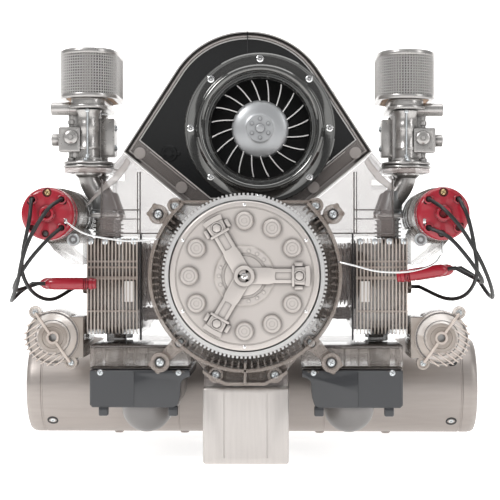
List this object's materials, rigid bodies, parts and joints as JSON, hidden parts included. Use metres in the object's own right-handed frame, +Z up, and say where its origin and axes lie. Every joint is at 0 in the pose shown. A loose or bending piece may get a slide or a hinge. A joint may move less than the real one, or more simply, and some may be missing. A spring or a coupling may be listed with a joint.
{
  "type": "four stroke engine model",
  "caption": "Desk display model of an air-cooled flat engine in clear casings, with turning crank, fan and camshafts, sliding pistons, carburettors and a cross silencer on a short stand.",
  "frame": {"origin": "centre of the stand's underside, on the surface it stands on", "axes": "+X to the right seen from the flywheel, +Y away from the flywheel towards the silencer, +Z up"},
  "size_m": [0.294, 0.2272, 0.2516],
  "materials": {
    "clear_plastic": "clear",
    "smoked_plastic": "gloss",
    "silver_plastic": "satin",
    "bright_metal": "polished",
    "warm_silver": "satin",
    "black_plastic": "satin",
    "red_plastic": "gloss",
    "black_rubber": "matt",
    "dark_steel": "satin"
  },
  "bodies": {
    "engine": {"air_duct_left": "clear_plastic", "air_duct_right": "clear_plastic", "air_filter_left": "bright_metal", "air_filter_right": "bright_metal", "bell_housing": "clear_plastic", "carburettor_left": "silver_plastic", "carburettor_right": "silver_plastic", "crankcase_left": "clear_plastic", "crankcase_right": "clear_plastic", "cylinder_head_left": "clear_plastic", "cylinder_head_right": "clear_plastic", "cylinder_pair_left": "clear_plastic", "cylinder_pair_right": "clear_plastic", "distributor_cap_left": "red_plastic", "distributor_cap_right": "red_plastic", "exhaust_cam_cover_left": "clear_plastic", "exhaust_cam_cover_right": "clear_plastic", "fan_inlet_ring": "bright_metal", "fan_shroud_front": "smoked_plastic", "fan_shroud_rear": "smoked_plastic", "generator": "silver_plastic", "heater_box_left": "clear_plastic", "heater_box_right": "clear_plastic", "heater_cover_left": "black_plastic", "heater_cover_right": "black_plastic", "ignition_lead_left_front": "black_rubber", "ignition_lead_left_rear": "black_rubber", "ignition_lead_left_well": "black_rubber", "ignition_lead_right_front": "black_rubber", "ignition_lead_right_rear": "black_rubber", "ignition_lead_right_well": "black_rubber", "intake_cam_housing_left": "clear_plastic", "intake_cam_housing_right": "clear_plastic", "intake_manifold_left": "silver_plastic", "intake_manifold_right": "silver_plastic", "plug_connector_left_front": "red_plastic", "plug_connector_left_rear": "red_plastic", "plug_connector_right_front": "red_plastic", "plug_connector_right_rear": "red_plastic", "signal_wire_left": "bright_metal", "signal_wire_right": "bright_metal", "silencer": "warm_silver", "stand_block": "silver_plastic", "v_belt": "black_rubber"},
    "crank": {"crankshaft": "dark_steel", "flywheel": "silver_plastic", "clutch_cover": "silver_plastic"},
    "fan_rotor": {"fan": "silver_plastic"},
    "rod_left_front": {"conrod_left_front": "dark_steel"},
    "piston_body_left_front": {"piston_left_front": "silver_plastic"},
    "rod_right_front": {"conrod_right_front": "dark_steel"},
    "piston_body_right_front": {"piston_right_front": "silver_plastic"},
    "rod_left_rear": {"conrod_left_rear": "dark_steel"},
    "piston_body_left_rear": {"piston_left_rear": "silver_plastic"},
    "rod_right_rear": {"conrod_right_rear": "dark_steel"},
    "piston_body_right_rear": {"piston_right_rear": "silver_plastic"},
    "cam_intake_left": {"camshaft_intake_left": "dark_steel"},
    "cam_exhaust_left": {"camshaft_exhaust_left": "dark_steel"},
    "cam_intake_right": {"camshaft_intake_right": "dark_steel"},
    "cam_exhaust_right": {"camshaft_exhaust_right": "dark_steel"}
  },
  "joints": [
    {"name": "crank_spin", "type": "hinge", "parent": "engine", "child": "crank", "pos_m": [0, 0.036, 0.1077], "axis": [0, 1, 0], "continuous": true},
    {"name": "fan_spin", "type": "hinge", "parent": "engine", "child": "fan_rotor", "pos_m": [0.0075, 0.036, 0.194], "axis": [0, 1, 0], "continuous": true},
    {"name": "crankpin_left_front", "type": "hinge", "parent": "crank", "child": "rod_left_front", "pos_m": [-0.009, 0.011, 0.1077], "axis": [0, 1, 0], "continuous": true},
    {"name": "piston_slide_left_front", "type": "slide", "parent": "engine", "child": "piston_body_left_front", "axis": [-1, 0, 0], "range_m": [-0.018, 0]},
    {"name": "crankpin_right_front", "type": "hinge", "parent": "crank", "child": "rod_right_front", "pos_m": [0.009, 0.023, 0.1077], "axis": [0, 1, 0], "continuous": true},
    {"name": "piston_slide_right_front", "type": "slide", "parent": "engine", "child": "piston_body_right_front", "axis": [1, 0, 0], "range_m": [-0.018, 0]},
    {"name": "crankpin_left_rear", "type": "hinge", "parent": "crank", "child": "rod_left_rear", "pos_m": [0.009, 0.049, 0.1077], "axis": [0, 1, 0], "continuous": true},
    {"name": "piston_slide_left_rear", "type": "slide", "parent": "engine", "child": "piston_body_left_rear", "axis": [-1, 0, 0], "range_m": [0, 0.018]},
    {"name": "crankpin_right_rear", "type": "hinge", "parent": "crank", "child": "rod_right_rear", "pos_m": [-0.009, 0.061, 0.1077], "axis": [0, 1, 0], "continuous": true},
    {"name": "piston_slide_right_rear", "type": "slide", "parent": "engine", "child": "piston_body_right_rear", "axis": [1, 0, 0], "range_m": [0, 0.018]},
    {"name": "cam_spin_intake_left", "type": "hinge", "parent": "engine", "child": "cam_intake_left", "pos_m": [-0.11, 0.036, 0.1422], "axis": [0, 1, 0], "continuous": true},
    {"name": "cam_spin_exhaust_left", "type": "hinge", "parent": "engine", "child": "cam_exhaust_left", "pos_m": [-0.1125, 0.036, 0.0712], "axis": [0, 1, 0], "continuous": true},
    {"name": "cam_spin_intake_right", "type": "hinge", "parent": "engine", "child": "cam_intake_right", "pos_m": [0.11, 0.036, 0.1422], "axis": [0, 1, 0], "continuous": true},
    {"name": "cam_spin_exhaust_right", "type": "hinge", "parent": "engine", "child": "cam_exhaust_right", "pos_m": [0.1125, 0.036, 0.0712], "axis": [0, 1, 0], "continuous": true}
  ],
  "couplings": [
    {"joint": "fan_spin", "follows": "crank_spin", "ratio": 1.43},
    {"joint": "crankpin_left_front", "follows": "crank_spin", "ratio": -1},
    {"joint": "crankpin_right_front", "follows": "crank_spin", "ratio": -1},
    {"joint": "crankpin_left_rear", "follows": "crank_spin", "ratio": -1},
    {"joint": "crankpin_right_rear", "follows": "crank_spin", "ratio": -1},
    {"joint": "cam_spin_intake_left", "follows": "crank_spin", "ratio": 0.5},
    {"joint": "cam_spin_exhaust_left", "follows": "crank_spin", "ratio": -0.5},
    {"joint": "cam_spin_intake_right", "follows": "crank_spin", "ratio": 0.5},
    {"joint": "cam_spin_exhaust_right", "follows": "crank_spin", "ratio": -0.5}
  ]
}
